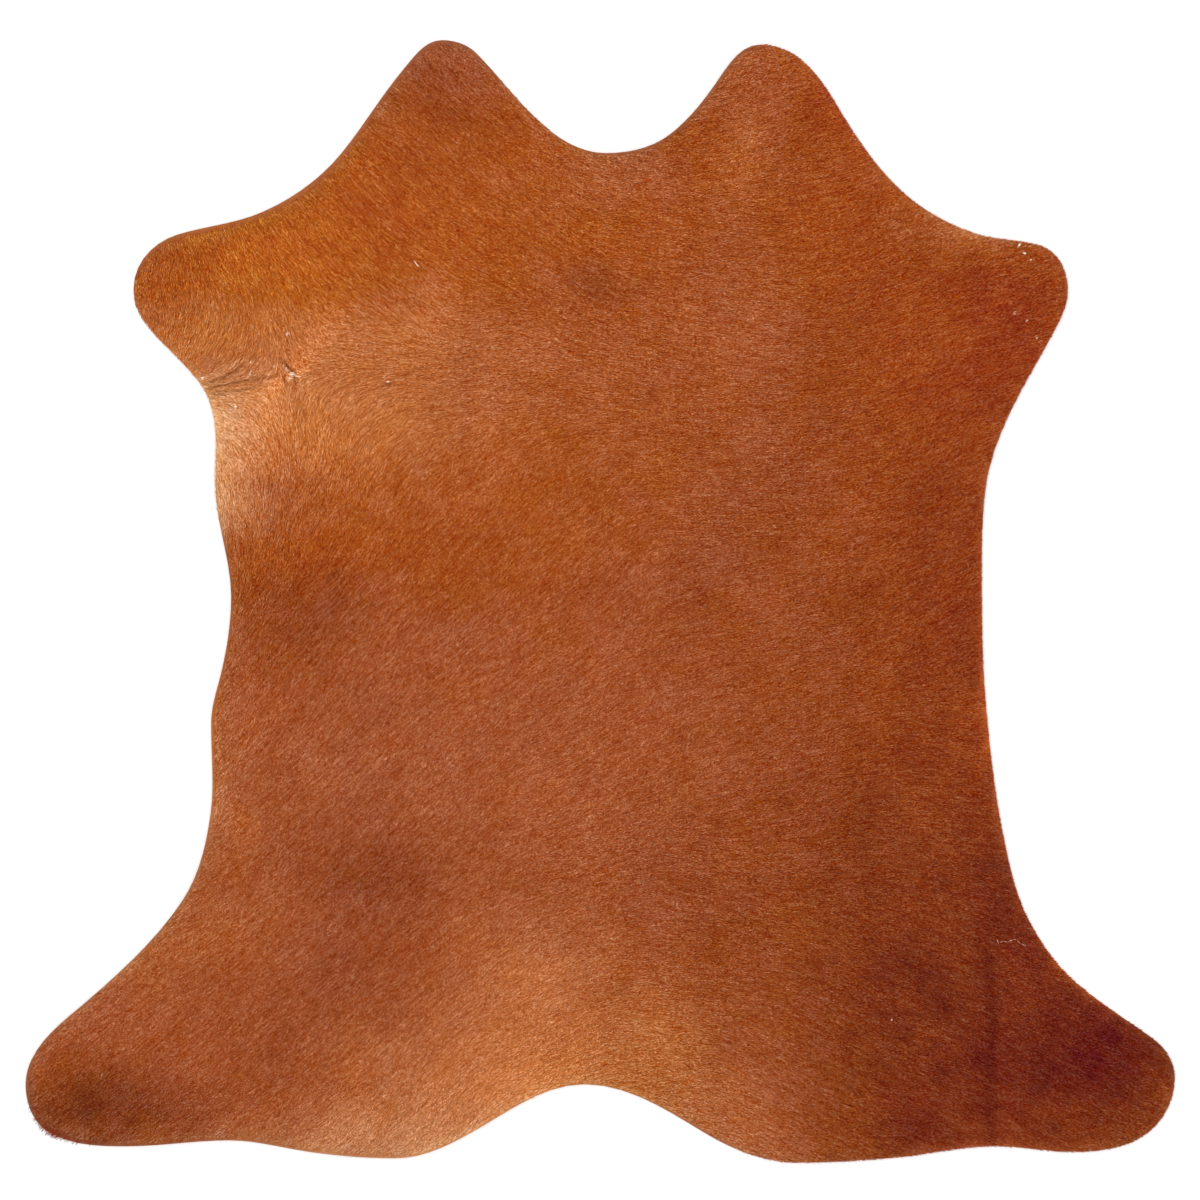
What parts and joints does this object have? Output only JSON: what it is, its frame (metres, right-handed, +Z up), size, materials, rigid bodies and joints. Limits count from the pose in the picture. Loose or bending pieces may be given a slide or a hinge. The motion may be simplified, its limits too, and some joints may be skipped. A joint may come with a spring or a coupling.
{
  "type": "hair-on cowhide rug",
  "caption": "Small flat rug cut from a single hair-on cowhide, with a short reddish-brown coat and an outline of neck, foreleg and hind-leg lobes.",
  "frame": {"origin": "on the flesh side, under the middle of the rug's box", "axes": "+Z up through the coat, +Y towards the neck lobes, +X towards the right-hand legs seen from above"},
  "size_m": [0.9183, 0.897, 0.0064],
  "materials": {
    "coat": "short lying hair, soft satin",
    "flesh_side": "buffed suede"
  },
  "bodies": {
    "root": {"hide": "coat"}
  },
  "joints": []
}
